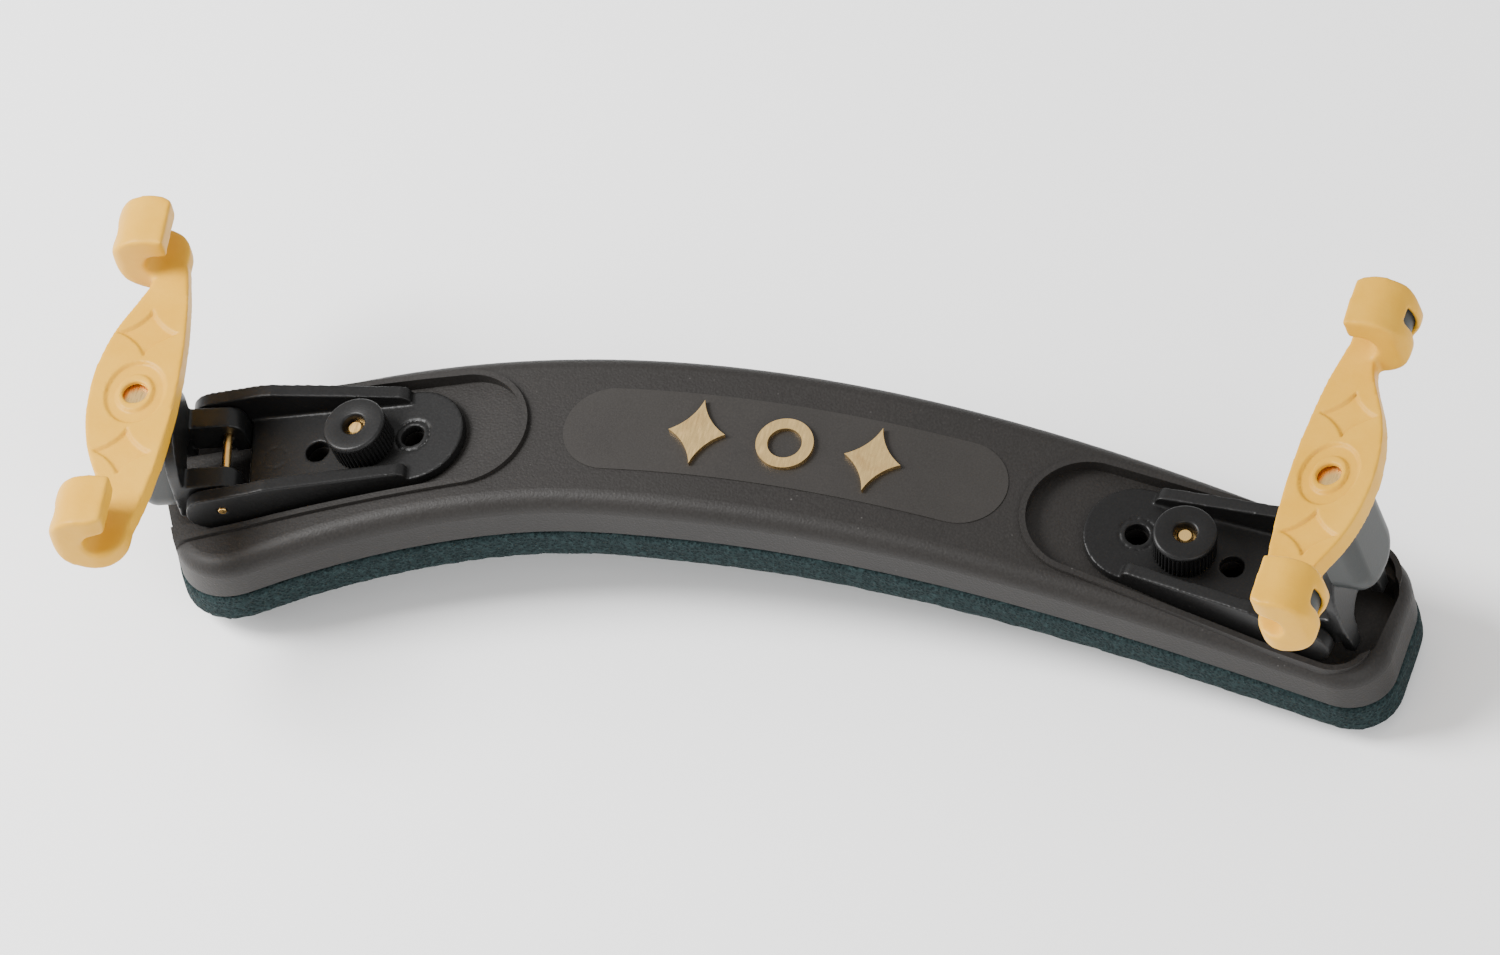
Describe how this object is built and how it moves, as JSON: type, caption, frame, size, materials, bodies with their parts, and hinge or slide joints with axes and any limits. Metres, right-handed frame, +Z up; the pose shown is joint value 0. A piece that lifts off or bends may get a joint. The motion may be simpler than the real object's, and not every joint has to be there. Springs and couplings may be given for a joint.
{
  "type": "violin shoulder rest",
  "caption": "Arched moulded bow on a foam pad; rubber-covered forks at its ends fold flat, screw up or down, and hook onto a violin's lower edges.",
  "frame": {"origin": "middle of the underside, at the level the foam rests on", "axes": "+X along the base towards the fork that stands taller, +Y to the far side, +Z up"},
  "size_m": [0.242, 0.0764, 0.0739],
  "materials": {
    "base_plastic": "moulded, fine matt grain",
    "panel_plastic": "moulded, smooth satin",
    "gilt": "brushed gold",
    "foam": "open-cell foam rubber, porous",
    "adhesive": "thin contact-adhesive film",
    "bracket_plastic": "moulded, satin black",
    "nut_plastic": "moulded, satin black, knurled side",
    "brass": "turned, bright",
    "knuckle_plastic": "moulded, satin black",
    "leg_plastic": "moulded, smooth green-grey",
    "core_plastic": "moulded, green-grey",
    "tan_rubber": "soft rubber, waxy satin"
  },
  "bodies": {
    "base": {"base_shell": "base_plastic", "foam_pad": "foam", "foam_adhesive": "adhesive", "centre_panel": "panel_plastic", "gold_ornament": "gilt", "clamp_stud_left": "brass", "clamp_stud_right": "brass", "bracket_left": "bracket_plastic", "bracket_right": "bracket_plastic", "hinge_pin_left": "brass", "hinge_pin_right": "brass"},
    "nut_left": {"thumb_nut_left": "nut_plastic", "nut_insert_left": "brass"},
    "knuckle_left": {"knuckle_left": "knuckle_plastic"},
    "leg_left": {"leg_bar_left": "leg_plastic"},
    "fork_left": {"leg_screw_left": "brass", "fork_core_left": "core_plastic", "fork_cover_left": "tan_rubber"},
    "nut_right": {"thumb_nut_right": "nut_plastic", "nut_insert_right": "brass"},
    "knuckle_right": {"knuckle_right": "knuckle_plastic"},
    "leg_right": {"leg_bar_right": "leg_plastic"},
    "fork_right": {"leg_screw_right": "brass", "fork_core_right": "core_plastic", "fork_cover_right": "tan_rubber"}
  },
  "joints": [
    {"name": "nut_turn_left", "type": "hinge", "parent": "base", "child": "nut_left", "pos_m": [-0.07304, 0.00525, 0.03363], "axis": [-0.1922, 0, 0.9813], "range_deg": [0, 1080]},
    {"name": "fold_left", "type": "hinge", "parent": "base", "child": "knuckle_left", "pos_m": [-0.09662, 0.00023, 0.02555], "axis": [-0.1954, 0.98, -0.0383], "range_deg": [0, 80]},
    {"name": "leg_rise_left", "type": "slide", "parent": "knuckle_left", "child": "leg_left", "axis": [-0.0394, 0.0312, 0.9987], "range_m": [0, 0.0145]},
    {"name": "fork_turn_left", "type": "hinge", "parent": "leg_left", "child": "fork_left", "pos_m": [-0.10887, -0.00223, 0.02514], "axis": [-0.0394, 0.0312, 0.9987], "range_deg": [0, 3240]},
    {"name": "nut_turn_right", "type": "hinge", "parent": "base", "child": "nut_right", "pos_m": [0.08029, 0.00537, 0.03155], "axis": [0.1562, 0, 0.9877], "range_deg": [0, 1080]},
    {"name": "fold_right", "type": "hinge", "parent": "base", "child": "knuckle_right", "pos_m": [0.1044, 0.00184, 0.02429], "axis": [-0.1384, -0.9901, 0.0219], "range_deg": [-8, 64]},
    {"name": "leg_rise_right", "type": "slide", "parent": "knuckle_right", "child": "leg_right", "axis": [-0.1366, 0.041, 0.9898], "range_m": [-0.0065, 0.0001]},
    {"name": "fork_turn_right", "type": "hinge", "parent": "leg_right", "child": "fork_right", "pos_m": [0.11666, 0.00016, 0.02605], "axis": [-0.1366, 0.041, 0.9898], "range_deg": [-1440, 0]}
  ],
  "couplings": [
    {"joint": "leg_rise_left", "follows": "fork_turn_left", "m_per_rad": 0.00025465},
    {"joint": "leg_rise_right", "follows": "fork_turn_right", "m_per_rad": 0.00025465}
  ]
}
